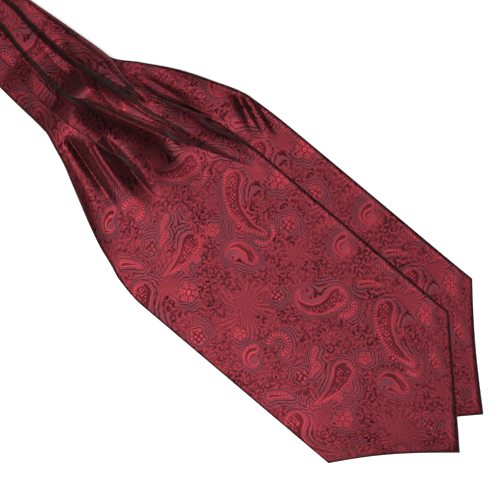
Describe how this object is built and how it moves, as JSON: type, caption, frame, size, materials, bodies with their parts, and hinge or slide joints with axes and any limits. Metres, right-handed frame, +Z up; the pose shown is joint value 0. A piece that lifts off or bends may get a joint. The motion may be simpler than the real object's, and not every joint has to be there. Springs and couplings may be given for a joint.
{
  "type": "silk cravat",
  "caption": "Flat-laid silk cravat folded at the neck: two overlapping pointed blades joined by a knife-pleated neckband.",
  "frame": {"origin": "centre of the bounding box's base, on the surface that the cravat lies on", "axes": "+Y from the blades' points towards the fold at the back of the neck, +X across the blades towards the side where the back blade shows, +Z up from the surface"},
  "size_m": [0.1842, 0.6, 0.0229],
  "materials": {
    "paisley_silk": "satin jacquard"
  },
  "bodies": {
    "root": {"front_blade": "paisley_silk", "neckband": "paisley_silk", "back_blade": "paisley_silk"}
  },
  "joints": []
}
